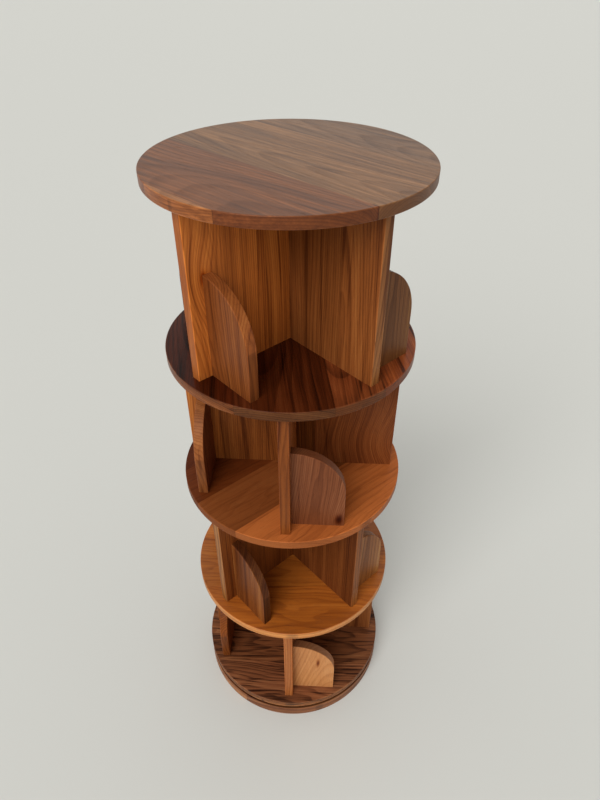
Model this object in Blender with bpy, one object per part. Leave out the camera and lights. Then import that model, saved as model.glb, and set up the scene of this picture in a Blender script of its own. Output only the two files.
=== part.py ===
"""Round revolving bookcase in oiled walnut.

Round boards carry four tiers of crossed panels. Each tier is turned by half a bay against the one below it,
and each panel arm has a round-shouldered stop at its side. The tower turns on a ball bearing on the base.
Lengths are metres, +Z is up, and the origin is the middle of the base's underside, on the floor.
"""
import math

import bmesh
import bpy
from mathutils import Matrix, Vector

# Driving dimensions
CLEARANCE = 0.0003              # gap kept between pieces that touch
EDGE_EASE = 0.001               # chamfer on the edges that a hand meets

DISC_RADIUS = 0.2286            # the shelves and the top
DISC_THICKNESS = 0.019
BASE_RADIUS = 0.2286
BASE_THICKNESS = 0.030

TIER_COUNT = 4
TIER_CLEAR_HEIGHT = 0.297       # from a shelf to the underside of the board above it
TIER_TURN = math.radians(45)    # turn of every second tier

PANEL_THICKNESS = 0.019
PANEL_SETBACK = 0.0186          # from a disc's rim to a panel's outer end
HOUSING_DEPTH = 0.004           # how far one board's edge is let into another

STOP_THICKNESS = 0.019
STOP_SETBACK = 0.027            # from a panel's outer end to the stop's outer face
STOP_WIDTH = 0.1016             # from the panel's side to the stop's free edge
STOP_HEIGHT = 0.185
STOP_SHOULDER = 0.1016          # height of the rounded shoulder

BALL_RADIUS = 0.0027
BALL_CIRCLE = 0.130             # radius of the circle that the balls run on
BALL_COUNT = 12
RING_THICKNESS = 0.004
RING_GAP = 0.0024               # space between the two rings
RING_LAND = 0.0168              # flat width at each side of the ball groove
GROOVE_SIDE_CLEARANCE = 0.0007
CAGE_THICKNESS = 0.0012
CAGE_RIM = 0.004                # metal between a ball's pocket and the cage's edge

SCREW_RADIUS = 0.002
SCREW_HEAD_RADIUS = 0.004
SCREW_HEAD_HEIGHT = 0.002
SCREW_RECESS = 0.002            # how deep the base's screw heads lie inside its underside
SCREW_BITE = 0.010              # length of a ring screw in the bottom shelf

# Facets on round pieces
DISC_SEGMENTS = 96
RING_SEGMENTS = 48
SHOULDER_SEGMENTS = 12
SCREW_SEGMENTS = 10
POCKET_SEGMENTS = 16
SHARP_ANGLE = math.radians(30)

# Places that follow from the dimensions
ARMS = 4
BAY = 2 * math.pi / ARMS
BEARING_BOTTOM = BASE_THICKNESS + CLEARANCE
BEARING_HEIGHT = 2 * RING_THICKNESS + RING_GAP
SHELF_BOTTOM = BEARING_BOTTOM + BEARING_HEIGHT + CLEARANCE
TIER_PITCH = DISC_THICKNESS + TIER_CLEAR_HEIGHT
PANEL_REACH = DISC_RADIUS - PANEL_SETBACK
STOP_REACH = PANEL_REACH - STOP_SETBACK
GROOVE_HALF_WIDTH = BALL_RADIUS + GROOVE_SIDE_CLEARANCE
GROOVE_DEPTH = BALL_RADIUS + CLEARANCE - RING_GAP / 2
SCREW_OFFSET = GROOVE_HALF_WIDTH + RING_LAND / 2
CUT_THROUGH = 0.005             # how far a cutter runs past the face that it opens

# Linear colours of the walnut boards and of the metal
BASE_COLOUR = (0.220, 0.085, 0.036)
TOP_COLOUR = (0.190, 0.090, 0.039)
SHELF_COLOURS = ((0.140, 0.046, 0.017), (0.390, 0.128, 0.022), (0.310, 0.085, 0.021), (0.100, 0.023, 0.008))
PANEL_COLOUR = (0.290, 0.086, 0.020)
STOP_COLOURS = ((0.195, 0.056, 0.016), (0.195, 0.056, 0.016), (0.180, 0.051, 0.018), (0.195, 0.056, 0.016))
PALE_STOP_COLOUR = (0.550, 0.250, 0.090)
PALE_STOP = "tier_1_stop_4"     # the one stop of sapwood
RING_COLOUR = (0.420, 0.420, 0.430)
BALL_COLOUR = (0.700, 0.700, 0.710)
SCREW_COLOUR = (0.300, 0.300, 0.310)
OILED_ROUGHNESS = 0.45
STEEL_ROUGHNESS = 0.35
BALL_ROUGHNESS = 0.12


def clear_scene():
    for obj in list(bpy.data.objects):
        bpy.data.objects.remove(obj, do_unlink=True)


def empty(name):
    """A frame on the turning axis that the pieces of one body are parented to."""
    obj = bpy.data.objects.new(name, None)
    bpy.context.collection.objects.link(obj)
    return obj


def walnut(colour):
    return colour, OILED_ROUGHNESS, 0.0


def steel(colour, roughness=STEEL_ROUGHNESS):
    return colour, roughness, 1.0


def material_of(name, look):
    colour, roughness, metallic = look
    material = bpy.data.materials.new(name + "_finish")
    material.use_nodes = True
    shader = material.node_tree.nodes["Principled BSDF"]
    shader.inputs["Base Color"].default_value = (*colour, 1.0)
    shader.inputs["Roughness"].default_value = roughness
    shader.inputs["Metallic"].default_value = metallic
    return material


def mesh_of(bm, name):
    """Close the edit and shade the mesh smooth between its sharp edges."""
    bmesh.ops.recalc_face_normals(bm, faces=bm.faces)
    mesh = bpy.data.meshes.new(name)
    bm.to_mesh(mesh)
    bm.free()
    mesh.shade_smooth()
    mesh.set_sharp_from_angle(angle=SHARP_ANGLE)
    return mesh


def place(name, mesh, frame, height, turn=0.0, out=0.0):
    """Stand a mesh at a height, turned about the axis, and moved out from it along the turned +X."""
    obj = bpy.data.objects.new(name, mesh)
    obj.location = (out * math.cos(turn), out * math.sin(turn), height)
    obj.rotation_euler.z = turn
    obj.parent = frame
    bpy.context.collection.objects.link(obj)
    return obj


def piece(name, mesh, look, frame, height=0.0, turn=0.0, out=0.0):
    """One node of the part with its own material, also where it shares its mesh."""
    if not mesh.materials:
        mesh.materials.append(None)
    obj = place(name, mesh, frame, height, turn, out)
    obj.material_slots[0].link = 'OBJECT'
    obj.material_slots[0].material = material_of(name, look)
    return obj


def cutter(name, mesh, frame, height=0.0, turn=0.0):
    obj = place(name, mesh, frame, height, turn)
    obj.hide_render = True
    obj.display_type = 'WIRE'
    return obj


def cut(obj, tool):
    modifier = obj.modifiers.new(tool.name, 'BOOLEAN')
    modifier.operation = 'DIFFERENCE'
    modifier.solver = 'EXACT'
    modifier.object = tool


def turn_profile(bm, profile, segments, closed=False, matrix=Matrix()):
    """Turn (radius, height) points about Z. A closed profile makes a ring, an open one gets flat end caps."""
    loops = []
    for radius, height in profile:
        angles = [2 * math.pi * step / segments for step in range(segments)]
        points = [Vector((radius * math.cos(a), radius * math.sin(a), height)) for a in angles]
        loops.append([bm.verts.new(matrix @ point) for point in points])
    pairs = list(zip(loops, loops[1:]))
    if closed:
        pairs.append((loops[-1], loops[0]))
    for low, high in pairs:
        for step in range(segments):
            after = (step + 1) % segments
            bm.faces.new((low[step], low[after], high[after], high[step]))
    if not closed:
        bm.faces.new(reversed(loops[0]))
        bm.faces.new(loops[-1])


def around(profile, segments, count, circle, start):
    """Copies of a turned shape, evenly spaced on a circle about the axis."""
    bm = bmesh.new()
    for copy in range(count):
        turn = Matrix.Rotation(start + 2 * math.pi * copy / count, 4, 'Z')
        turn_profile(bm, profile, segments, matrix=turn @ Matrix.Translation((circle, 0.0, 0.0)))
    return bm


def extrude_outline(bm, points, direction):
    """Make a prism from a closed outline of points and the vector that it is extruded by."""
    face = bm.faces.new([bm.verts.new(point) for point in points])
    made = bmesh.ops.extrude_face_region(bm, geom=[face])
    moved = [item for item in made["geom"] if isinstance(item, bmesh.types.BMVert)]
    bmesh.ops.translate(bm, verts=moved, vec=direction)


def ease_edges(bm, edges):
    bmesh.ops.bevel(bm, geom=edges, offset=EDGE_EASE, segments=1, affect='EDGES')


def disc_mesh(name, radius, thickness):
    """A round board with eased rims."""
    profile = [
        (radius - EDGE_EASE, 0.0),
        (radius, EDGE_EASE),
        (radius, thickness - EDGE_EASE),
        (radius - EDGE_EASE, thickness),
    ]
    bm = bmesh.new()
    turn_profile(bm, profile, DISC_SEGMENTS)
    return mesh_of(bm, name)


def ring_mesh(name, groove_up):
    """A flat bearing ring with the ball groove in its upper or lower face."""
    face = RING_THICKNESS if groove_up else 0.0
    back = RING_THICKNESS - face
    floor = face + (GROOVE_DEPTH if back > face else -GROOVE_DEPTH)
    floor_half_width = GROOVE_HALF_WIDTH - GROOVE_DEPTH
    half_width = GROOVE_HALF_WIDTH + RING_LAND
    profile = [
        (BALL_CIRCLE + half_width, back),
        (BALL_CIRCLE + half_width, face),
        (BALL_CIRCLE + GROOVE_HALF_WIDTH, face),
        (BALL_CIRCLE + floor_half_width, floor),
        (BALL_CIRCLE - floor_half_width, floor),
        (BALL_CIRCLE - GROOVE_HALF_WIDTH, face),
        (BALL_CIRCLE - half_width, face),
        (BALL_CIRCLE - half_width, back),
    ]
    bm = bmesh.new()
    turn_profile(bm, profile, RING_SEGMENTS, closed=True)
    return mesh_of(bm, name)


def screw_profile(length):
    """A countersunk screw along Z, from its head to its tip."""
    return [
        (SCREW_HEAD_RADIUS, 0.0),
        (SCREW_HEAD_RADIUS, SCREW_HEAD_HEIGHT / 2),
        (SCREW_RADIUS, SCREW_HEAD_HEIGHT),
        (SCREW_RADIUS, length),
    ]


def screw_hole_profile(length):
    """The hole for such a screw, open below its head."""
    return [
        (SCREW_HEAD_RADIUS + CLEARANCE, -CUT_THROUGH),
        (SCREW_HEAD_RADIUS + CLEARANCE, SCREW_HEAD_HEIGHT / 2 + CLEARANCE),
        (SCREW_RADIUS + CLEARANCE, SCREW_HEAD_HEIGHT + CLEARANCE),
        (SCREW_RADIUS + CLEARANCE, length + CLEARANCE),
    ]


def screws(kind, length, circle, frame, height):
    """One screw in the middle of each bay. Gives back the tool that cuts the holes for them."""
    bm = bmesh.new()
    turn_profile(bm, screw_profile(length), SCREW_SEGMENTS)
    mesh = mesh_of(bm, kind)
    for arm in range(ARMS):
        turn = (arm + 0.5) * BAY
        piece(f"{kind}_{arm + 1}", mesh, steel(SCREW_COLOUR), frame, height, turn, circle)
    holes = around(screw_hole_profile(length), SCREW_SEGMENTS, ARMS, circle, BAY / 2)
    return cutter(kind + "_holes", mesh_of(holes, kind + "_holes"), frame, height)


def build_base(frame):
    """The base disc, the bearing ring on it, and the screws driven up through both."""
    disc_shape = disc_mesh("base_disc", BASE_RADIUS, BASE_THICKNESS)
    disc = piece("base_disc", disc_shape, walnut(BASE_COLOUR), frame)
    ring_shape = ring_mesh("bearing_lower_ring", True)
    ring = piece("bearing_lower_ring", ring_shape, steel(RING_COLOUR), frame, BEARING_BOTTOM)
    length = BEARING_BOTTOM + RING_THICKNESS - SCREW_RECESS
    holes = screws("base_screw", length, BALL_CIRCLE + SCREW_OFFSET, frame, SCREW_RECESS)
    cut(disc, holes)
    cut(ring, holes)


def build_cage(frame):
    """The balls, and the thin cage that spaces them half-way between the rings."""
    middle = BEARING_BOTTOM + BEARING_HEIGHT / 2
    pocket_radius = (BALL_RADIUS + CLEARANCE) / math.cos(math.pi / POCKET_SEGMENTS)
    half_width = pocket_radius + CAGE_RIM
    half_height = CAGE_THICKNESS / 2
    profile = [
        (BALL_CIRCLE + half_width, -half_height),
        (BALL_CIRCLE + half_width, half_height),
        (BALL_CIRCLE - half_width, half_height),
        (BALL_CIRCLE - half_width, -half_height),
    ]
    bm = bmesh.new()
    turn_profile(bm, profile, RING_SEGMENTS, closed=True)
    cage = piece("bearing_cage", mesh_of(bm, "bearing_cage"), steel(RING_COLOUR), frame, middle)
    pocket = [(pocket_radius, -CAGE_THICKNESS), (pocket_radius, CAGE_THICKNESS)]
    pockets = mesh_of(around(pocket, POCKET_SEGMENTS, BALL_COUNT, BALL_CIRCLE, 0.0), "bearing_pockets")
    cut(cage, cutter("bearing_pockets", pockets, frame, middle))
    bm = bmesh.new()
    bmesh.ops.create_icosphere(bm, subdivisions=2, radius=BALL_RADIUS)
    ball_shape = mesh_of(bm, "bearing_ball")
    for ball in range(BALL_COUNT):
        turn = 2 * math.pi * ball / BALL_COUNT
        look = steel(BALL_COLOUR, BALL_ROUGHNESS)
        piece(f"bearing_ball_{ball + 1}", ball_shape, look, frame, middle, turn, BALL_CIRCLE)


def build_discs(frame):
    """The bearing ring under the tower with its screws, the shelves from the bottom up, and the top."""
    ring_bottom = SHELF_BOTTOM - CLEARANCE - RING_THICKNESS
    ring_shape = ring_mesh("bearing_upper_ring", False)
    ring = piece("bearing_upper_ring", ring_shape, steel(RING_COLOUR), frame, ring_bottom)
    disc_shape = disc_mesh("disc", DISC_RADIUS, DISC_THICKNESS)
    discs = []
    for level in range(TIER_COUNT):
        look = walnut(SHELF_COLOURS[level % len(SHELF_COLOURS)])
        height = SHELF_BOTTOM + level * TIER_PITCH
        discs.append(piece(f"shelf_{level + 1}", disc_shape, look, frame, height))
    height = SHELF_BOTTOM + TIER_COUNT * TIER_PITCH
    discs.append(piece("top_disc", disc_shape, walnut(TOP_COLOUR), frame, height))
    length = RING_THICKNESS + CLEARANCE + SCREW_BITE
    holes = screws("ring_screw", length, BALL_CIRCLE - SCREW_OFFSET, frame, ring_bottom)
    cut(ring, holes)
    cut(discs[0], holes)
    return discs


def panel_mesh(name, slot_up):
    """An upright board along X, from housing to housing, with the slot that halves it over its neighbour."""
    low = -HOUSING_DEPTH + CLEARANCE
    high = TIER_CLEAR_HEIGHT + HOUSING_DEPTH - CLEARANCE
    middle = (low + high) / 2
    half_slot = PANEL_THICKNESS / 2 + CLEARANCE
    slot_end = middle - CLEARANCE if slot_up else middle + CLEARANCE
    open_edge, whole_edge = (high, low) if slot_up else (low, high)
    outline = [
        (-PANEL_REACH, whole_edge),
        (PANEL_REACH, whole_edge),
        (PANEL_REACH, open_edge),
        (half_slot, open_edge),
        (half_slot, slot_end),
        (-half_slot, slot_end),
        (-half_slot, open_edge),
        (-PANEL_REACH, open_edge),
    ]
    side = -PANEL_THICKNESS / 2
    bm = bmesh.new()
    extrude_outline(bm, [(x, side, z) for x, z in outline], (0.0, PANEL_THICKNESS, 0.0))
    outer_edges = []
    for edge in bm.edges:
        first, second = (vert.co for vert in edge.verts)
        upright = abs(first.z - second.z) > TIER_CLEAR_HEIGHT
        if upright:
            outer_edges.append(edge)
    ease_edges(bm, outer_edges)
    return mesh_of(bm, name)


def cross_housing_mesh(name):
    """The cross that a tier's two panels fill, with clearance all round, to cut out of the discs."""
    reach = PANEL_REACH + CLEARANCE
    half = PANEL_THICKNESS / 2 + CLEARANCE
    arm_points = [(reach, -half), (reach, half), (half, half)]
    outline = []
    for arm in range(ARMS):
        turn = Matrix.Rotation(arm * BAY, 3, 'Z')
        outline += [turn @ Vector((x, y, -HOUSING_DEPTH)) for x, y in arm_points]
    bm = bmesh.new()
    extrude_outline(bm, outline, (0.0, 0.0, TIER_CLEAR_HEIGHT + 2 * HOUSING_DEPTH))
    return mesh_of(bm, name)


def stop_mesh(name):
    """An upright board let into the shelf and into the panel arm along +X, with a round shoulder."""
    side = PANEL_THICKNESS / 2
    tongue = side - HOUSING_DEPTH + CLEARANCE
    free_edge = side + STOP_WIDTH
    foot = -HOUSING_DEPTH + CLEARANCE
    outline = [(tongue, STOP_HEIGHT), (tongue, foot), (free_edge, foot)]
    for step in range(SHOULDER_SEGMENTS + 1):
        angle = math.pi / 2 * step / SHOULDER_SEGMENTS
        across = side + STOP_WIDTH * math.cos(angle)
        up = STOP_HEIGHT - STOP_SHOULDER * (1 - math.sin(angle))
        outline.append((across, up))
    inner_face = STOP_REACH - STOP_THICKNESS
    bm = bmesh.new()
    extrude_outline(bm, [(inner_face, y, z) for y, z in outline], (STOP_THICKNESS, 0.0, 0.0))
    shown = []
    for edge in bm.edges:
        first, second = (vert.co for vert in edge.verts)
        along_face = abs(first.x - second.x) < CLEARANCE
        in_panel = min(first.y, second.y) < side - CLEARANCE
        at_foot = max(first.z, second.z) < foot + CLEARANCE
        if along_face and not in_panel and not at_foot:
            shown.append(edge)
    ease_edges(bm, shown)
    return mesh_of(bm, name)


def stop_housings_mesh(name, near, far, low, high):
    """A slot for each of a tier's four stops, from near to far beside the panel and from low to high."""
    inner = STOP_REACH - STOP_THICKNESS - CLEARANCE
    outer = STOP_REACH + CLEARANCE
    corners = [(inner, near), (outer, near), (outer, far), (inner, far)]
    bm = bmesh.new()
    for arm in range(ARMS):
        turn = Matrix.Rotation(arm * BAY, 3, 'Z')
        points = [turn @ Vector((x, y, low)) for x, y in corners]
        extrude_outline(bm, points, (0.0, 0.0, high - low))
    return mesh_of(bm, name)


def panel_grooves_mesh(name):
    """The upright grooves in a tier's panels that its stops are let into."""
    side = PANEL_THICKNESS / 2
    low = -HOUSING_DEPTH - CUT_THROUGH
    return stop_housings_mesh(name, side - HOUSING_DEPTH, side + CUT_THROUGH, low, STOP_HEIGHT + CLEARANCE)


def foot_housings_mesh(name):
    """The shallow housings in a shelf that its stops stand in. Each opens into the panel's own housing."""
    side = PANEL_THICKNESS / 2
    return stop_housings_mesh(name, side, side + STOP_WIDTH + CLEARANCE, -HOUSING_DEPTH, CUT_THROUGH)


def build_tiers(frame, discs):
    """Each tier's crossed panels and stops, with the housings cut in the boards that they are let into."""
    panel_shapes = [panel_mesh("panel_a", True), panel_mesh("panel_b", False)]
    stop_shape = stop_mesh("stop")
    cross_housing = cross_housing_mesh("cross_housing")
    panel_grooves = panel_grooves_mesh("panel_grooves")
    foot_housings = foot_housings_mesh("foot_housings")
    for tier in range(TIER_COUNT):
        name = f"tier_{tier + 1}"
        shelf = SHELF_BOTTOM + tier * TIER_PITCH + DISC_THICKNESS
        turn = tier % 2 * TIER_TURN
        cross_tool = cutter(name + "_cross_housing", cross_housing, frame, shelf, turn)
        groove_tool = cutter(name + "_panel_grooves", panel_grooves, frame, shelf, turn)
        foot_tool = cutter(name + "_foot_housings", foot_housings, frame, shelf, turn)
        cut(discs[tier], cross_tool)
        cut(discs[tier], foot_tool)
        cut(discs[tier + 1], cross_tool)
        for board, shape in enumerate(panel_shapes):
            panel_name = f"{name}_panel_{'ab'[board]}"
            panel = piece(panel_name, shape, walnut(PANEL_COLOUR), frame, shelf, turn + board * BAY)
            cut(panel, groove_tool)
        for arm in range(ARMS):
            stop_name = f"{name}_stop_{arm + 1}"
            colour = PALE_STOP_COLOUR if stop_name == PALE_STOP else STOP_COLOURS[tier % len(STOP_COLOURS)]
            piece(stop_name, stop_shape, walnut(colour), frame, shelf, turn + arm * BAY)


clear_scene()
build_base(empty("base_frame"))
build_cage(empty("cage_frame"))
tower_frame = empty("tower_frame")
build_tiers(tower_frame, build_discs(tower_frame))
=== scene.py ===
"""Looks of the round revolving bookcase in oiled walnut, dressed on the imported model. Lengths are metres."""
import math
import random

import bpy
from mathutils import Matrix, Vector


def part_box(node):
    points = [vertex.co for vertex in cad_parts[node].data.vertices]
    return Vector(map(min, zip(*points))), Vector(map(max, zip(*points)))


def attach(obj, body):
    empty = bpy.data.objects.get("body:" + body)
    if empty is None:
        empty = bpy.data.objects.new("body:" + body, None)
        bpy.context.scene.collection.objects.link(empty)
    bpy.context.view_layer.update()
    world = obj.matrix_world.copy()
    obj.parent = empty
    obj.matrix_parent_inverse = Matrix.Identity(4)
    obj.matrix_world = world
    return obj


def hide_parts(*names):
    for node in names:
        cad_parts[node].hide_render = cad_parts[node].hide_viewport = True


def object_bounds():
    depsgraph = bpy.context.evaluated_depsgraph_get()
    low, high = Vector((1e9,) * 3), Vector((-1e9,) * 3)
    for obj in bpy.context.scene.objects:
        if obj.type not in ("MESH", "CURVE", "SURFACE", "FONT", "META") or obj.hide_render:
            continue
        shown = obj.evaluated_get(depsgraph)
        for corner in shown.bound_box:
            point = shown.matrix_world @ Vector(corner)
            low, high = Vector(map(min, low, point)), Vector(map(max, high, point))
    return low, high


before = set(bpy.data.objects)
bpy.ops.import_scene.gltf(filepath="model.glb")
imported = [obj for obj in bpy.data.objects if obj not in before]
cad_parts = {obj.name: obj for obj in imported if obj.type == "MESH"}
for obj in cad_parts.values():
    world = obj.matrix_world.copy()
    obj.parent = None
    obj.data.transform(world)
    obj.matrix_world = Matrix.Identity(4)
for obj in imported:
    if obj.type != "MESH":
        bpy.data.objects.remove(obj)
cad_low, cad_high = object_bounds()


# Base disc
# A thick round board that stands on the floor and carries the whole tower.
# It is glued up from walnut staves, turned round, eased at the rim and oiled. Its faces carry painted shade,
# so that the gap in which the tower turns shows as a thin dark shadow line; its rim is tinted back up.
BASE_GRAIN = 20
BASE_SEAMS = (-0.150, -0.062, 0.028, 0.121)
# Painted shade over the base's faces, and the rim tint that lifts its rim back to the walnut's colour.
BASE_PAINTED_SHADE = (0.32, 0.27, 0.22)
BASE_RIM = (3.4, 4.0, 4.7)
BASE_SEED = 1
SCREWS = (1, 2, 3, 4)
UP = Vector((0.0, 0.0, 1.0))


def paint(red, green, blue):
    """A colour as a paint swatch gives it, from 0 to 255, made linear for the shader."""
    def linear(value):
        share = value / 255
        return share / 12.92 if share <= 0.04045 else ((share + 0.055) / 1.055) ** 2.4
    return (linear(red), linear(green), linear(blue), 1.0)


class Shade:
    """A socket in a material's node tree. Sums and products of sockets add their Math nodes."""

    def __init__(self, tree, socket=None):
        self.tree = tree
        self.socket = socket

    def node(self, kind, settings, sockets, output=0):
        """Any node of the tree: first its settings, then the values or links of its sockets."""
        made = self.tree.nodes.new(kind)
        for name, value in settings.items():
            if name == "stops":
                elements = made.color_ramp.elements
                while len(elements) < len(value):
                    elements.new(1.0)
                for element, (position, colour) in zip(elements, value):
                    element.position = position
                    element.color = colour
            else:
                setattr(made, name, value)
        for name, value in sockets.items():
            if isinstance(value, Shade):
                self.tree.links.new(value.socket, made.inputs[name])
            else:
                made.inputs[name].default_value = value
        return Shade(self.tree, made.outputs[output])

    def math(self, operation, *values):
        return self.node("ShaderNodeMath", {"operation": operation}, dict(enumerate(values)))

    def __add__(self, other):
        return self.math("ADD", self, other)

    def __radd__(self, other):
        return self.math("ADD", other, self)

    def __sub__(self, other):
        return self.math("SUBTRACT", self, other)

    def __rsub__(self, other):
        return self.math("SUBTRACT", other, self)

    def __mul__(self, other):
        return self.math("MULTIPLY", self, other)

    def __rmul__(self, other):
        return self.math("MULTIPLY", other, self)

    def __truediv__(self, other):
        return self.math("DIVIDE", self, other)

    def __pow__(self, other):
        return self.math("POWER", self, other)

    def ease(self, low, high):
        """0 below low, 1 above high, and a soft step between them."""
        limits = {"Value": self, "From Min": low, "From Max": high}
        return self.node("ShaderNodeMapRange", {"interpolation_type": "SMOOTHSTEP"}, limits)

    def feed(self, shader, name):
        self.tree.links.new(self.socket, shader.inputs[name])


def noise(x, y, z, detail=2.0):
    """Cloudy noise about zero, at a point whose parts are sockets or numbers."""
    shade = next(part for part in (x, y, z) if isinstance(part, Shade))
    point = shade.node("ShaderNodeCombineXYZ", {}, {"X": x, "Y": y, "Z": z})
    settings = {"noise_dimensions": "3D"}
    return shade.node("ShaderNodeTexNoise", settings, {"Vector": point, "Scale": 1.0, "Detail": detail}) - 0.5


# Waves of each layer of the grain per metre along the log and across it, and its detail.
GRAIN_LAYERS = {
    "sway": (2.2, 7.0, 1.0),
    "wave": (7.0, 34.0, 1.0),
    "cloud": (3.0, 16.0, 2.0),
    "strand": (3.5, 150.0, 3.0),
    "fibre": (12.0, 480.0, 2.0),
    "pore": (45.0, 1500.0, 1.0),
}

# The noise runs from about -0.5 to 0.5, and the swing doubles it.
# The sway is how far the noise moves the grain lines.
SWING = 2.0
SWAY = 0.030

# Heartwood bands, and rings of uneven width. A slice is the place at which they cut through the noise.
BAND_WIDTH = 0.011
BAND_WAVES = 1.1
BAND_SLICE = 3.7
BAND_DETAIL = 3.0
UNEVEN_RINGS = 2.0
UNEVEN_OUTWARDS = 60.0
UNEVEN_ALONG = 2.0
UNEVEN_SLICE = 9.1

# Where the late wood of a ring grows dark and ends, and how sharp streaks and pores are.
LATE_RISE = (0.35, 0.9)
LATE_END = (0.93, 1.0)
STREAK_STEP = (0.06, 0.24)
STREAK_DETAIL = 2.0
PORE_STEP = (0.10, 0.22)

# How much each part of the figure shows in the colour.
BAND_SHARE = 0.85
CLOUD_SHARE = 0.30
LATE_SHARE = 0.20
STRAND_SHARE = 0.20
FIBRE_SHARE = 0.16
END_PLAIN = 0.8
DARK_STOP = 0.10
MIDDLE_STOP = 0.50
LIGHT_STOP = 0.92
# Rounded edges are lightened, partly for oil worn thin and partly as a painted highlight.
EDGE_WEAR_AND_HIGHLIGHT = 0.22
PORE_DARK = 0.30
GLUE_DARK = 0.35
GLUE_LINE = 0.0004
HALF_STAVE = 0.04
KNOT_RED = 0.9
KNOT_DARK = 0.5

# How much each part of the figure shows in the polish and in the relief.
PORE_DULL = 0.16
END_DULL = 0.12
FIBRE_DULL = 0.05
LATE_DULL = 0.04
LATE_DEPTH = 0.25
FIBRE_HEIGHT = 0.3
RELIEF = 0.0002
RELIEF_STRENGTH = 0.35


def grain_layer(layer, along, across, depth):
    """One layer of the grain's noise, drawn out along the log."""
    lengthwise, crosswise, detail = GRAIN_LAYERS[layer]
    return noise(along * lengthwise, across * crosswise, depth * crosswise, detail)


def walnut(name, dark, middle, light, bands=1.0, lines=1.0, streaks=0.3, fibres=1.0, ring_gap=0.004,
           streak_width=0.009, streak_length=0.6, taper=0.02, lean=0.0, wave=0.0, end_dark=0.25,
           roughness=0.38, sheen=0.12, knots=()):
    """Oiled walnut that follows a board's grain attribute: growth rings, heartwood bands, fibres and pores.

    Knots are rows of a place along the log, a place across it, the length and width over which the grain
    swells round it, the swell, and the dark core's radius."""
    material = bpy.data.materials.new(name)
    material.use_nodes = True
    shader = material.node_tree.nodes["Principled BSDF"]
    shader.inputs["Specular IOR Level"].default_value = sheen
    start = Shade(material.node_tree)
    log = start.node("ShaderNodeAttribute", {"attribute_name": "grain"}, {}, "Vector")
    stave = start.node("ShaderNodeAttribute", {"attribute_name": "stave"}, {}, "Vector")
    tint = start.node("ShaderNodeAttribute", {"attribute_name": "tint"}, {}, "Vector")
    along, across, depth = [log.node("ShaderNodeSeparateXYZ", {}, {0: log}, axis) for axis in "XYZ"]
    seam, worn_and_highlit, end = [stave.node("ShaderNodeSeparateXYZ", {}, {0: stave}, axis) for axis in "XYZ"]

    if lean:
        across = across - along * lean
    sway = grain_layer("sway", along, across, depth) * SWAY
    if wave:
        sway = sway + grain_layer("wave", along, across, depth) * wave
    radius = (across * across + depth * depth) ** 0.5
    ring = radius + along * taper + sway
    line = across + sway
    knot_core = 0.0
    for knot_along, knot_across, length, width, swell, core_radius in knots:
        rise = (along - knot_along) / length
        aside = (across - knot_across) / width
        reach = rise * rise + aside * aside
        push = reach.math("EXPONENT", reach * -0.5) * swell
        ring = ring + push
        line = line - aside * push
        knot_core = reach.math("EXPONENT", reach * -((width / core_radius) ** 2)) + knot_core

    band = noise(ring / BAND_WIDTH, along * BAND_WAVES, BAND_SLICE, BAND_DETAIL) * SWING
    cloud = grain_layer("cloud", along, across, depth) * SWING
    uneven = noise(ring * UNEVEN_OUTWARDS, along * UNEVEN_ALONG, UNEVEN_SLICE, 1.0) * UNEVEN_RINGS
    spacing = ring / ring_gap + uneven
    saw = spacing.math("FRACT", spacing)
    late = saw.ease(*LATE_RISE) * (1.0 - saw.ease(*LATE_END))
    streak = noise(along / streak_length, line / streak_width, depth / streak_width, STREAK_DETAIL)
    streak = streak.ease(*STREAK_STEP)
    strand = grain_layer("strand", along, line, depth) * SWING
    fibre = grain_layer("fibre", along, line, depth) * SWING
    pore = grain_layer("pore", along, across, depth).ease(*PORE_STEP)

    figure = band * (BAND_SHARE * bands) + cloud * (CLOUD_SHARE * bands) - late * (LATE_SHARE * lines)
    drawn_out = strand * (STRAND_SHARE * fibres) + fibre * (FIBRE_SHARE * fibres) - streak * streaks
    value = MIDDLE_STOP + figure + drawn_out * (1.0 - end * END_PLAIN)
    stops = [(DARK_STOP, dark), (MIDDLE_STOP, middle), (LIGHT_STOP, light)]
    colour = value.node("ShaderNodeValToRGB", {"stops": stops}, {"Fac": value})
    colour = colour.node("ShaderNodeVectorMath", {"operation": "MULTIPLY"}, {0: colour, 1: tint})
    glue = seam.math("ABSOLUTE", seam).ease(1.0 - GLUE_LINE / HALF_STAVE, 1.0)
    level = (1.0 + worn_and_highlit * EDGE_WEAR_AND_HIGHLIGHT) * (1.0 - end * end_dark)
    level = level * (1.0 - pore * PORE_DARK) * (1.0 - glue * GLUE_DARK)
    if knots:
        colour = colour.node("ShaderNodeGamma", {}, {"Color": colour, "Gamma": 1.0 + knot_core * KNOT_RED})
        level = level * (1.0 - knot_core * KNOT_DARK)
    colour = colour.node("ShaderNodeHueSaturation", {}, {"Color": colour, "Value": level})
    colour.feed(shader, "Base Color")
    polish = roughness + pore * PORE_DULL + end * END_DULL + fibre * FIBRE_DULL + late * LATE_DULL
    polish.feed(shader, "Roughness")
    height = fibre * FIBRE_HEIGHT - pore - late * LATE_DEPTH
    sockets = {"Strength": RELIEF_STRENGTH, "Distance": RELIEF, "Height": height}
    height.node("ShaderNodeBump", {}, sockets, "Normal").feed(shader, "Normal")
    return material


RIM_STEPS = 240
EDGE_ROUND = 0.0015
EDGE_STEPS = 3
EDGE_CORNERS = 4
HOUSING_PLAY = 1.0005
SAME_PLACE = 0.000002
FLAT_ANGLE = math.radians(0.5)
SMOOTH_ANGLE = math.radians(35)
NO_TURN = Matrix.Identity(4)


def start_piece(name):
    """The primitive that was just added becomes a piece with its place in its mesh."""
    piece = bpy.context.object
    piece.name = name
    piece.data.name = name
    bpy.ops.object.transform_apply(location=True, rotation=True, scale=True)
    return piece


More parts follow.
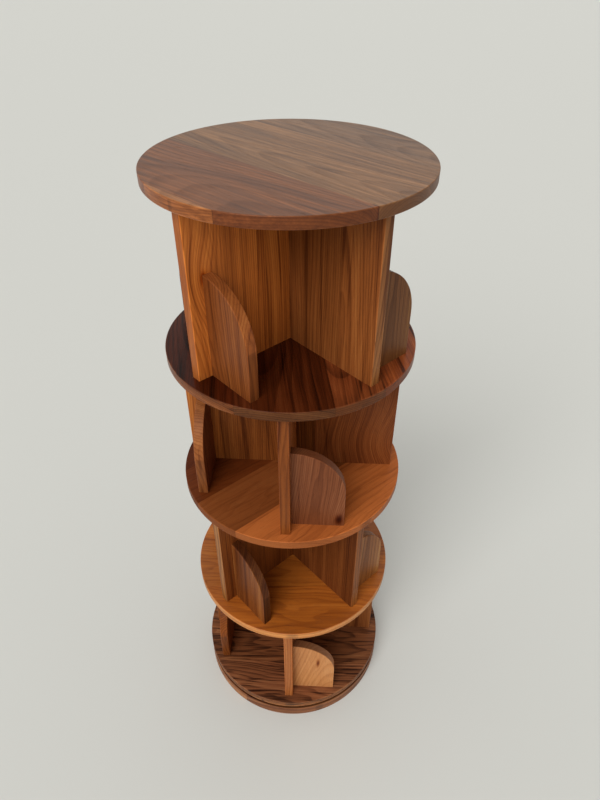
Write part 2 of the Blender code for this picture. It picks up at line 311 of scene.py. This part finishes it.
def pick_edges(piece, wanted):
    """Go into edit mode with just the edges selected whose two ends are wanted."""
    bpy.ops.object.mode_set(mode="EDIT")
    bpy.ops.mesh.select_mode(type="EDGE")
    bpy.ops.mesh.select_all(action="DESELECT")
    bpy.ops.object.mode_set(mode="OBJECT")
    places = [vertex.co for vertex in piece.data.vertices]
    for edge in piece.data.edges:
        first, second = edge.vertices
        edge.select = wanted(places[first], places[second])
    bpy.ops.object.mode_set(mode="EDIT")


def round_edges(piece, wanted):
    """Round the wanted edges over and mark the new faces, which the walnut lightens for oil worn thin and as a
    painted highlight.
    """
    pick_edges(piece, wanted)
    bpy.ops.mesh.bevel(offset=EDGE_ROUND, segments=EDGE_STEPS, affect="EDGES")
    bpy.ops.object.mode_set(mode="OBJECT")
    worn_and_highlit = piece.data.attributes.new("worn_and_highlit", "FLOAT", "FACE")
    rounded = [face.select and len(face.vertices) <= EDGE_CORNERS for face in piece.data.polygons]
    worn_and_highlit.data.foreach_set("value", [float(face) for face in rounded])


def round_board(name, radius, low, high):
    """A round board from its underside to its face, with rounded rims."""
    bpy.ops.object.select_all(action="DESELECT")
    bpy.ops.mesh.primitive_cylinder_add(
        vertices=RIM_STEPS, radius=radius, depth=high - low, location=(0.0, 0.0, (low + high) / 2))
    board = start_piece(name)
    round_edges(board, lambda first, second: abs(first.z - second.z) < EDGE_ROUND)
    return board


def copy_piece(pattern, name, place=NO_TURN):
    """A copy of a modelled piece with its own mesh, put in its place and left as the active object."""
    bpy.ops.object.select_all(action="DESELECT")
    piece = pattern.copy()
    piece.data = pattern.data.copy()
    piece.name = name
    piece.data.name = name
    piece.data.transform(place)
    bpy.context.collection.objects.link(piece)
    piece.select_set(True)
    bpy.context.view_layer.objects.active = piece
    return piece


def board_middle(board):
    corners = [Vector(corner) for corner in board.bound_box]
    return sum(corners, Vector()) / len(corners)


def let_in(board, *node_names):
    """Cut a board where other pieces are let into it, by the shapes of their nodes and a hair larger."""
    for node_name in node_names:
        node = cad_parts[node_name]
        middle = board_middle(node)
        play = Matrix.Translation(middle) @ Matrix.Scale(HOUSING_PLAY, 4) @ Matrix.Translation(-middle)
        cutter = copy_piece(node, "housing", play)
        cutter.hide_viewport = False
        bpy.ops.object.mode_set(mode="EDIT")
        bpy.ops.mesh.select_all(action="SELECT")
        bpy.ops.mesh.remove_doubles(threshold=SAME_PLACE)
        bpy.ops.mesh.dissolve_limited(angle_limit=FLAT_ANGLE)
        bpy.ops.object.mode_set(mode="OBJECT")
        bpy.ops.object.select_all(action="DESELECT")
        board.select_set(True)
        bpy.context.view_layer.objects.active = board
        housing = board.modifiers.new("housing", "BOOLEAN")
        housing.object = cutter
        bpy.ops.object.modifier_apply(modifier=housing.name)
        bpy.data.objects.remove(cutter)


def split_staves(board, across, seams):
    """Cut a board's faces along the glue lines between its staves."""
    bpy.ops.object.mode_set(mode="EDIT")
    for seam in seams:
        bpy.ops.mesh.select_all(action="SELECT")
        bpy.ops.mesh.bisect(plane_co=board_middle(board) + across * seam, plane_no=across)
    bpy.ops.object.mode_set(mode="OBJECT")


def smooth(piece):
    """Shade smooth over the rounded edges, with the flat faces kept flat."""
    bpy.ops.object.shade_smooth_by_angle(angle=SMOOTH_ANGLE)
    weights = piece.modifiers.new("flat_faces", "WEIGHTED_NORMAL")
    weights.keep_sharp = True
    bpy.ops.object.modifier_apply(modifier=weights.name)


# How far the pith lies beside the middle of a disc's stave and below it, at least and at most.
# Then where along its log a stave starts, how far its grain leans, and how far staves differ in tint.
DISC_PITH = ((0.0, 0.05), (0.10, 0.20))
LOG_START = (1.0, 9.0)
LOG_LEAN = 0.03
STAVE_SPREAD = 0.10


def lay_grain(board, along, across, seams, tints, edge_tints, draw, pith, logs=None):
    """Give every point of a board its place in the log that its stave was sawn from.

    The pith of a log lies at random distances beside the stave's middle and below it, or where logs puts it.
    The grain attribute holds how far a point lies along the log and from its pith. The stave attribute
    holds how far it lies from the stave's middle, how worn and highlit it is, and the share of end grain
    that shows. The tint attribute holds the stave's tint, painted shade included where one is given, which
    its edge tint changes on the board's edges."""
    mesh = board.data
    middle = board_middle(board)
    through = along.cross(across)
    beside, below = pith
    spread = [across.dot(vertex.co - middle) for vertex in mesh.vertices]
    edges = [min(spread), *seams, max(spread)]
    staves = []
    for number, (low, high) in enumerate(zip(edges, edges[1:])):
        aside = draw.uniform(*beside) * draw.choice((-1, 1))
        log = Vector((draw.uniform(*LOG_START), aside, draw.uniform(*below)))
        lean = draw.uniform(-LOG_LEAN, LOG_LEAN)
        staves.append((low, high, tints[number], edge_tints[number], (logs or {}).get(number, log), lean))
    worn_and_highlit = mesh.attributes["worn_and_highlit"].data
    places, marks, colours = [], [], []
    for face in mesh.polygons:
        reach = across.dot(face.center - middle)
        low, high, tint, edge_tint, log, lean = next(
            row for row in staves if reach <= row[1] or row is staves[-1])
        end = abs(face.normal.dot(along))
        edge = 1.0 - abs(face.normal.dot(through))
        colour = [part * (1.0 + edge * (change - 1.0)) for part, change in zip(tint, edge_tint)]
        for corner in face.loop_indices:
            point = mesh.vertices[mesh.loops[corner].vertex_index].co - middle
            place = Vector((along.dot(point), across.dot(point), through.dot(point)))
            from_middle = (2 * place.y - low - high) / (high - low)
            place.y += lean * place.x - (low + high) / 2
            places.extend(place + log)
            marks.extend((from_middle, worn_and_highlit[face.index].value, end))
            colours.extend(colour)
    for name, values in (("grain", places), ("stave", marks), ("tint", colours)):
        mesh.attributes.new(name, "FLOAT_VECTOR", "CORNER")
        mesh.attributes[name].data.foreach_set("vector", values)


def shades(draw, count, red=1.0, green=1.0, blue=1.0):
    """Tints of so many staves of one colour, which differ a little from each other."""
    levels = [draw.uniform(1.0 - STAVE_SPREAD, 1.0 + STAVE_SPREAD) for stave in range(count)]
    return [(red * level, green * level, blue * level) for level in levels]


def dress(piece, material, body, slot, *nodes):
    """Give a piece its finish, the body that it moves with, and the nodes that it stands for, which it hides.
    The slot is not used.
    """
    piece.data.materials.clear()
    piece.data.materials.append(material)
    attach(piece, body)
    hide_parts(*nodes)


def heading(degrees):
    """The level direction at an angle from +X."""
    angle = math.radians(degrees)
    return Vector((math.cos(angle), math.sin(angle), 0.0))


base_low, base_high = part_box("base_disc")
base_walnut = walnut("base_walnut", paint(100, 54, 30), paint(146, 92, 57), paint(176, 121, 79), lines=0.5)
base_board = round_board("base_board", base_high.x, base_low.z, base_high.z)
let_in(base_board, *[f"base_screw_{screw}" for screw in SCREWS])
split_staves(base_board, heading(BASE_GRAIN + 90), BASE_SEAMS)
smooth(base_board)
base_draw = random.Random(BASE_SEED)
base_shaded_tints = shades(base_draw, len(BASE_SEAMS) + 1, *BASE_PAINTED_SHADE)
lay_grain(base_board, heading(BASE_GRAIN), heading(BASE_GRAIN + 90), BASE_SEAMS, base_shaded_tints,
          [BASE_RIM] * len(base_shaded_tints), base_draw, DISC_PITH)
dress(base_board, base_walnut, "base", "walnut_base", "base_disc")


# Turntable bearing
# Two pressed steel rings with a ball groove, a thin cage and a circle of polished balls between them.
# The lower ring is screwed to the base and the upper ring to the bottom shelf.
MARKS_OUTWARDS = 2600.0
MARKS_UPWARDS = 900.0
MARKS_SLICE = 0.5
DULL_WAVES = 60.0
DULL_DETAIL = 3.0
DULL_SHADE = 0.55
DULL_COLOUR = 0.9
DULL_POLISH = 0.25
MARKS_POLISH = 0.3
MARKS_RELIEF = 0.0001
MARKS_STRENGTH = 0.2


def steel(name, colour, roughness, brushed):
    """Bright steel with fine turning marks round the axis and a few dull patches."""
    material = bpy.data.materials.new(name)
    material.use_nodes = True
    shader = material.node_tree.nodes["Principled BSDF"]
    shader.inputs["Metallic"].default_value = 1.0
    start = Shade(material.node_tree)
    point = start.node("ShaderNodeTexCoord", {}, {}, "Object")
    x, y, z = [point.node("ShaderNodeSeparateXYZ", {}, {0: point}, axis) for axis in "XYZ"]
    out = (x * x + y * y) ** 0.5
    marks = noise(out * MARKS_OUTWARDS, z * MARKS_UPWARDS, MARKS_SLICE, 1.0)
    dull = noise(x * DULL_WAVES, y * DULL_WAVES, z * DULL_WAVES, DULL_DETAIL)
    value = 0.5 + dull * DULL_COLOUR + marks * brushed
    stops = [(0.0, tuple(DULL_SHADE * part for part in colour[:3]) + (1.0,)), (1.0, colour)]
    value.node("ShaderNodeValToRGB", {"stops": stops}, {"Fac": value}).feed(shader, "Base Color")
    (roughness + dull * DULL_POLISH + marks * (MARKS_POLISH * brushed)).feed(shader, "Roughness")
    sockets = {"Strength": MARKS_STRENGTH, "Distance": MARKS_RELIEF, "Height": marks * brushed}
    marks.node("ShaderNodeBump", {}, sockets, "Normal").feed(shader, "Normal")
    return material


ring_steel = steel("ring_steel", paint(176, 177, 180), roughness=0.36, brushed=0.6)
ball_steel = steel("ball_steel", paint(216, 217, 220), roughness=0.12, brushed=0.1)
screw_steel = steel("screw_steel", paint(150, 150, 154), roughness=0.40, brushed=0.3)
for node_name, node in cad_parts.items():
    finish = None
    if node_name.startswith("bearing_ball"):
        finish = ball_steel
    elif node_name.startswith("bearing"):
        finish = ring_steel
    elif "screw" in node_name:
        finish = screw_steel
    if finish:
        node.data.materials.clear()
        node.data.materials.append(finish)


# Shelves
# Four round boards, each glued up from walnut staves and let into by the panels above and below it.
# Every board was cut from another plank, so each has its own colour and its own grain direction.
SHELF_WALNUTS = (
    walnut("shelf_1_walnut", paint(48, 23, 11), paint(118, 69, 40), paint(156, 105, 66), bands=0.55,
           lines=1.1, streaks=0.55, fibres=1.3, streak_width=0.0048, streak_length=0.09, wave=0.010),
    walnut("shelf_2_walnut", paint(126, 62, 15), paint(171, 96, 32), paint(200, 128, 55), bands=0.6,
           lines=0.8, streaks=0.1, fibres=0.8, wave=0.010, sheen=0.3),
    walnut("shelf_3_walnut", paint(106, 50, 20), paint(164, 90, 42), paint(192, 118, 62), bands=0.25,
           lines=0.5, streaks=0.17, fibres=0.30, streak_width=0.004, streak_length=0.12, wave=0.014,
           sheen=0.08),
    walnut("shelf_4_walnut", paint(40, 15, 6), paint(96, 45, 20), paint(132, 72, 38), bands=0.4,
           streaks=0.45, fibres=1.4, roughness=0.26, sheen=0.1),
)

# From the bottom shelf up: the grain's heading in degrees, the glue lines' places across it, and the tints
# of the staves and of their edges at the rim. The dark stave tints of shelves 3 and 4 are partly painted
# shade, as cast on them by the panels and by books, and their rim tints lift those rims back up.
SHELF_GRAIN = (1, 3, 43, -81)
SHELF_SEAMS = (
    (-0.120, -0.045, 0.075),
    (-0.105, 0.010, 0.110),
    (-0.086, 0.020, 0.115),
    (-0.110, 0.050, 0.140),
)
# The darker staves of shelves 3 and 4 carry painted shade.
SHELF_TINTS_AND_SHADE = (
    ((1.13, 1.16, 1.25), (0.9, 0.9, 0.9), (1.0, 1.0, 1.0), (1.1, 1.1, 1.1)),
    ((0.95, 0.90, 0.85), (0.9, 0.9, 0.9), (1.0, 1.0, 1.0), (0.95, 0.95, 0.95)),
    ((1.18, 1.17, 1.17), (0.55, 0.54, 0.56), (0.33, 0.26, 0.23), (0.26, 0.19, 0.16)),
    ((0.50, 0.36, 0.30), (0.58, 0.49, 0.43), (1.45, 1.48, 1.42), (1.90, 1.85, 1.70)),
)
SHELF_EDGES = (
    ((1.45, 1.49, 1.07), (1.30, 1.20, 0.95), (1.30, 1.20, 0.95), (1.30, 1.20, 0.95)),
    ((1.75, 2.50, 5.00), (1.75, 2.50, 5.00), (1.75, 2.50, 5.00), (1.75, 2.50, 5.00)),
    ((0.90, 0.95, 1.00), (1.25, 1.25, 1.15), (1.60, 1.90, 1.85), (1.90, 2.40, 2.50)),
    ((4.40, 8.00, 9.50), (2.15, 3.70, 4.70), (1.03, 1.30, 1.27), (0.80, 0.80, 0.65)),
)
ARMS = (1, 2, 3, 4)
disc_low, disc_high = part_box("top_disc")
disc_pattern = round_board("disc_pattern", disc_high.x, disc_low.z, disc_high.z)
for number, grain_turn in enumerate(SHELF_GRAIN):
    tier = number + 1
    shelf = f"shelf_{tier}"
    drop = Matrix.Translation(UP * (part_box(shelf)[0].z - disc_low.z))
    shelf_board = copy_piece(disc_pattern, shelf + "_board", drop)
    let_in(shelf_board, f"tier_{tier}_panel_a", f"tier_{tier}_panel_b")
    let_in(shelf_board, *[f"tier_{tier}_stop_{arm}" for arm in ARMS])
    if number:
        let_in(shelf_board, f"tier_{number}_panel_a", f"tier_{number}_panel_b")
    else:
        let_in(shelf_board, *[f"ring_screw_{screw}" for screw in SCREWS])
    split_staves(shelf_board, heading(grain_turn + 90), SHELF_SEAMS[number])
    smooth(shelf_board)
    lay_grain(shelf_board, heading(grain_turn), heading(grain_turn + 90), SHELF_SEAMS[number],
              SHELF_TINTS_AND_SHADE[number], SHELF_EDGES[number], random.Random(shelf), DISC_PITH)
    dress(shelf_board, SHELF_WALNUTS[number], "tower", "walnut_" + shelf, shelf)


# Panels
# Two upright boards cross in each tier, halved over each other at the axis, with upright grain.
# Their lower and upper edges are let into the discs, and every second tier is turned by half a bay.
TIER_TURNS = (0, 45, 0, 45)
PANEL_BOARDS = (("a", "b", (1, 3)), ("b", "a", (2, 4)))

# For each tier from the bottom up: the glue lines' places across a panel, and the tints of its two boards
# and of their outer ends. The dark tints of the tier 2 boards are partly painted shade, as under the
# shelf above, and their end tints lift the outer ends back up.
PANEL_SEAMS = (
    (-0.142, -0.060, 0.048, 0.130),
    (-0.120, -0.035, 0.070, 0.140),
    (-0.142, -0.060, 0.048),
    (-0.142, -0.060, 0.048, 0.130),
)
# Board tints; those of tier 2 are darkened partly with painted shade.
PANEL_TINTS_AND_SHADE = (
    ((0.70, 0.65, 0.60), (1.20, 1.02, 0.80)),
    ((0.60, 0.47, 0.31), (0.52, 0.42, 0.34)),
    ((0.68, 0.58, 0.42), (0.92, 0.72, 0.50)),
    ((1.50, 1.26, 0.78), (0.80, 0.72, 0.60)),
)
PANEL_ENDS = (
    ((1.2, 1.2, 1.2), (1.22, 1.32, 1.50)),
    ((2.85, 4.50, 6.00), (2.60, 3.10, 2.80)),
    ((1.20, 1.30, 1.30), (1.10, 1.12, 1.08)),
    ((0.93, 0.88, 1.02), (1.60, 2.00, 2.35)),
)

# Staves with a tint of their own, staves that were sawn from a known place of a log, and the knots
# of such logs.
PANEL_STAVES = {"tier_3_panel_a": {0: (1.25, 1.15, 0.80), 3: (0.68, 0.54, 0.48)}}
PANEL_LOGS = {
    "tier_3_panel_a": {3: Vector((3.0, 0.05, 0.03))},
    "tier_4_panel_a": {0: Vector((0.0, 0.05, 0.06))},
}
PANEL_KNOTS = ((0.030, 0.045, 0.048, 0.022, 0.020, 0.0044), (2.912, 0.150, 0.050, 0.085, 0.042, 0.0006))
PANEL_PITH = ((0.02, 0.20), (0.04, 0.09))
SEAM_SHIFT = 0.015
panel_low, panel_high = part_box("tier_1_panel_a")
panel_size = panel_high - panel_low
panel_paints = (paint(100, 52, 24), paint(154, 92, 48), paint(186, 124, 70))
panel_walnut = walnut("panel_walnut", *panel_paints, bands=0.55)
knotty_panel = walnut("knotty_panel", *panel_paints, bands=0.55, knots=PANEL_KNOTS)
bpy.ops.object.select_all(action="DESELECT")
bpy.ops.mesh.primitive_cube_add(size=1.0, location=(panel_low + panel_high) / 2, scale=panel_size)
panel_pattern = start_piece("panel_pattern")
round_edges(panel_pattern, lambda first, second: abs(first.z - second.z) > panel_size.z / 2)
for tier, turn in enumerate(TIER_TURNS, 1):
    for number, (board_name, other_board, arms) in enumerate(PANEL_BOARDS):
        node_name = f"tier_{tier}_panel_{board_name}"
        board_turn = turn + 90 * number
        rise = UP * (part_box(node_name)[0].z - panel_low.z)
        side = heading(board_turn)
        place = Matrix.Translation(rise) @ Matrix.Rotation(math.radians(board_turn), 4, "Z")
        panel = copy_piece(panel_pattern, f"panel_{tier}_{board_name}", place)
        let_in(panel, f"tier_{tier}_panel_{other_board}", *[f"tier_{tier}_stop_{arm}" for arm in arms])
        draw = random.Random(node_name)
        seams = [seam + draw.uniform(-SEAM_SHIFT, SEAM_SHIFT) for seam in PANEL_SEAMS[tier - 1]]
        split_staves(panel, side, seams)
        smooth(panel)
        tints = shades(draw, len(seams) + 1, *PANEL_TINTS_AND_SHADE[tier - 1][number])
        for stave, tint in PANEL_STAVES.get(node_name, {}).items():
            tints[stave] = tint
        end_tints = [PANEL_ENDS[tier - 1][number]] * len(tints)
        lay_grain(panel, UP, side, seams, tints, end_tints, draw, PANEL_PITH, PANEL_LOGS.get(node_name))
        finish = knotty_panel if node_name in PANEL_LOGS else panel_walnut
        dress(panel, finish, "tower", "walnut_panel", node_name)
bpy.data.objects.remove(panel_pattern)


# Stops
# An upright board with one round shoulder stands square to each panel arm and holds what is on the shelf.
# It is one walnut board with upright grain, let into the panel's side and into the shelf.
STOP_SHOULDER = 0.1016
SHOULDER_STEPS = 28
REDDISH_KNOT = (-0.074, 0.047, 0.040, 0.020, 0.014, 0.0058)
PALE_KNOT = (0.025, -0.036, 0.024, 0.006, 0.006, 0.0031)
stop_walnut = walnut("stop_walnut", paint(78, 36, 13), paint(122, 65, 27), paint(154, 94, 44), bands=0.55,
                     wave=0.008)
streaky_stop = walnut("streaky_stop", paint(84, 42, 16), paint(122, 70, 32), paint(164, 112, 62), bands=0.9)
reddish_stop = walnut("reddish_stop", paint(84, 42, 22), paint(118, 66, 38), paint(150, 97, 64), bands=0.35,
                      lean=0.08, wave=0.012, knots=(REDDISH_KNOT,))
pale_stop = walnut("pale_stop", paint(152, 90, 46), paint(193, 131, 79), paint(218, 165, 110), bands=0.3,
                   lines=0.7, streaks=0.0, fibres=0.5, ring_gap=0.008, taper=0.18, wave=0.006,
                   end_dark=0.65, knots=(PALE_KNOT,))
TIER_STOPS = ((stop_walnut, "walnut_stop"), (streaky_stop, "walnut_stop"), (reddish_stop, "walnut_stop_pink"),
              (stop_walnut, "walnut_stop"))

# Most stops have the plain tint and edge tint. Those that are named have their own. The dark edge of
# tier_2_stop_3 is painted shade and the light edge of tier_4_stop_3 is painted light.
STOP_TINT = (1.0, 1.0, 1.0)
STOP_EDGE = (1.0, 0.95, 0.9)
STOP_TINTS = {"tier_2_stop_3": (0.94, 0.83, 0.68), "tier_2_stop_4": (1.15, 1.26, 1.28),
              "tier_4_stop_4": (0.80, 1.05, 1.40)}
# Edge tints, with painted shade on tier_2_stop_3 and painted light on tier_4_stop_3.
STOP_EDGES_AND_LIGHT = {"tier_1_stop_3": (1.30, 1.25, 1.00), "tier_2_stop_3": (0.55, 0.50, 0.50),
              "tier_3_stop_3": (1.80, 1.90, 1.40), "tier_4_stop_3": (1.60, 1.65, 1.80),
              "tier_1_stop_4": (0.84, 0.78, 0.88)}
STOP_PITH = ((0.03, 0.10), (0.04, 0.09))
PALE_STOP = "tier_1_stop_4"
KNOTTY_ARM = 4
PALE_LOG = Vector((0.0, -0.048, 0.060))
KNOTTY_LOG = Vector((0.0, 0.0, 0.03))
stop_low, stop_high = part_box("tier_1_stop_1")
stop_size = stop_high - stop_low
bpy.ops.object.select_all(action="DESELECT")
bpy.ops.mesh.primitive_cube_add(size=1.0, location=(stop_low + stop_high) / 2, scale=stop_size)
stop_pattern = start_piece("stop_pattern")


def shoulder_edge(first, second):
    at_side = min(first.y, second.y) > stop_high.y - EDGE_ROUND
    at_top = min(first.z, second.z) > stop_high.z - EDGE_ROUND
    return at_side and at_top


def stop_outline(first, second):
    along_face = abs(first.x - second.x) < EDGE_ROUND
    in_panel = max(first.y, second.y) < stop_low.y + EDGE_ROUND
    at_foot = max(first.z, second.z) < stop_low.z + EDGE_ROUND
    return along_face and not in_panel and not at_foot


pick_edges(stop_pattern, shoulder_edge)
bpy.ops.mesh.bevel(offset=STOP_SHOULDER, segments=SHOULDER_STEPS, affect="EDGES")
bpy.ops.object.mode_set(mode="OBJECT")
round_edges(stop_pattern, stop_outline)
for tier, turn in enumerate(TIER_TURNS, 1):
    for arm in ARMS:
        node_name = f"tier_{tier}_stop_{arm}"
        finish, slot = TIER_STOPS[tier - 1]
        logs = {0: KNOTTY_LOG} if arm == KNOTTY_ARM else None
        if node_name == PALE_STOP:
            finish, slot, logs = pale_stop, "walnut_stop_pale", {0: PALE_LOG}
        arm_turn = turn + 90 * (arm - 1)
        rise = UP * (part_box(node_name)[0].z - stop_low.z)
        place = Matrix.Translation(rise) @ Matrix.Rotation(math.radians(arm_turn), 4, "Z")
        stop = copy_piece(stop_pattern, f"stop_{tier}_{arm}", place)
        smooth(stop)
        draw = random.Random(node_name)
        tints = shades(draw, 1, *STOP_TINTS.get(node_name, STOP_TINT))
        edge_tints = [STOP_EDGES_AND_LIGHT.get(node_name, STOP_EDGE)]
        lay_grain(stop, UP, heading(arm_turn + 90), (), tints, edge_tints, draw, STOP_PITH, logs)
        dress(stop, finish, "tower", slot, node_name)
bpy.data.objects.remove(stop_pattern)


# Top
# The round board that closes the tower, glued up from wide staves and oiled to a soft sheen.
# The panels of the upper tier are let into its underside. One narrow stave at the rim is pale sapwood.
TOP_GRAIN = -40
TOP_SEED = 7
TOP_SEAMS = (-0.2167, -0.062, 0.112)
TOP_TINTS = ((1.50, 1.15, 0.75), (0.84, 0.52, 0.28), (1.00, 0.90, 0.74), (0.91, 0.86, 0.82))
TOP_EDGES = ((0.98, 0.80, 0.68), (1.01, 0.86, 0.80), (0.93, 0.78, 0.66), (0.99, 1.03, 1.05))
TOP_LOGS = {1: Vector((0.0, 0.04, 0.15)), 2: Vector((0.0, 0.030, 0.06))}
TOP_KNOT = (0.215, 0.112, 0.015, 0.007, 0.006, 0.0021)
top_walnut = walnut("top_walnut", paint(80, 50, 30), paint(121, 85, 54), paint(164, 121, 84), bands=0.45,
                    lines=0.7, streaks=0.25, fibres=2.2, taper=-0.05, roughness=0.30, sheen=0.25,
                    knots=(TOP_KNOT,))
top_board = copy_piece(disc_pattern, "top_board")
let_in(top_board, "tier_4_panel_a", "tier_4_panel_b")
split_staves(top_board, heading(TOP_GRAIN + 90), TOP_SEAMS)
smooth(top_board)
lay_grain(top_board, heading(TOP_GRAIN), heading(TOP_GRAIN + 90), TOP_SEAMS, TOP_TINTS, TOP_EDGES,
          random.Random(TOP_SEED), DISC_PITH, TOP_LOGS)
dress(top_board, top_walnut, "tower", "walnut_top", "top_disc")
bpy.data.objects.remove(disc_pattern)


# Floor, light and camera
# A plain pale floor under soft studio lights, the strongest of them from the front left.
# The camera looks down from standing height.
FLOOR_SIZE = 60.0
FLOOR_ROUGHNESS = 0.7
GLOW = 0.37
CAMERA_PLACE = (0.0674, -0.9633, 1.6200)
CAMERA_TILT = math.radians(51.49)
CAMERA_TURN = math.radians(2.99)
CAMERA_LENS = 27.69
SENSOR_WIDTH = 36.0
bpy.ops.object.select_all(action="DESELECT")
bpy.ops.mesh.primitive_plane_add(size=FLOOR_SIZE, location=(0.0, 0.0, cad_low.z))
floor = bpy.context.object
floor.name = "floor"
floor_paint = bpy.data.materials.new("floor_paint")
floor_paint.use_nodes = True
floor_shader = floor_paint.node_tree.nodes["Principled BSDF"]
floor_shader.inputs["Base Color"].default_value = paint(206, 206, 200)
floor_shader.inputs["Roughness"].default_value = FLOOR_ROUGHNESS
floor.data.materials.append(floor_paint)

world = bpy.context.scene.world or bpy.data.worlds.new("studio")
bpy.context.scene.world = world
world.use_nodes = True
sky = Shade(world.node_tree)
glow = sky.node("ShaderNodeBackground", {}, {"Color": paint(248, 247, 244), "Strength": GLOW})
pale = sky.node("ShaderNodeBackground", {}, {"Color": paint(208, 208, 202), "Strength": 1.0})
seen, mirrored, through_glass = [
    sky.node("ShaderNodeLightPath", {}, {}, f"Is {ray} Ray") for ray in ("Camera", "Glossy", "Transmission")]
backdrop = sky.node("ShaderNodeMixShader", {}, {0: seen + mirrored + through_glass, 1: glow, 2: pale})
backdrop.feed(world.node_tree.nodes["World Output"], "Surface")


def soft_light(name, azimuth, elevation, spread, strength):
    """A wide far light, as from a large window or a softbox, from an azimuth and a height in degrees."""
    lamp = bpy.data.lights.new(name, "SUN")
    lamp.angle = math.radians(spread)
    lamp.energy = strength
    light = bpy.data.objects.new(name, lamp)
    height = math.radians(elevation)
    towards = heading(azimuth) * math.cos(height) + UP * math.sin(height)
    light.rotation_euler = towards.to_track_quat("Z", "Y").to_euler()
    bpy.context.collection.objects.link(light)


soft_light("window_light", azimuth=-112, elevation=42, spread=40, strength=2.2)
soft_light("left_light", azimuth=185, elevation=30, spread=90, strength=0.5)
soft_light("right_light", azimuth=-15, elevation=30, spread=90, strength=0.35)
soft_light("back_light", azimuth=80, elevation=50, spread=60, strength=0.3)

bpy.ops.object.select_all(action="DESELECT")
camera_data = bpy.data.cameras.new("photo_camera")
camera_data.sensor_fit = "AUTO"
camera_data.sensor_width = SENSOR_WIDTH
camera_data.lens = CAMERA_LENS
camera = bpy.data.objects.new("photo_camera", camera_data)
camera.location = CAMERA_PLACE
camera.rotation_euler = (CAMERA_TILT, 0.0, CAMERA_TURN)
bpy.context.collection.objects.link(camera)
bpy.context.scene.camera = camera
bpy.context.scene.view_settings.view_transform = "Standard"
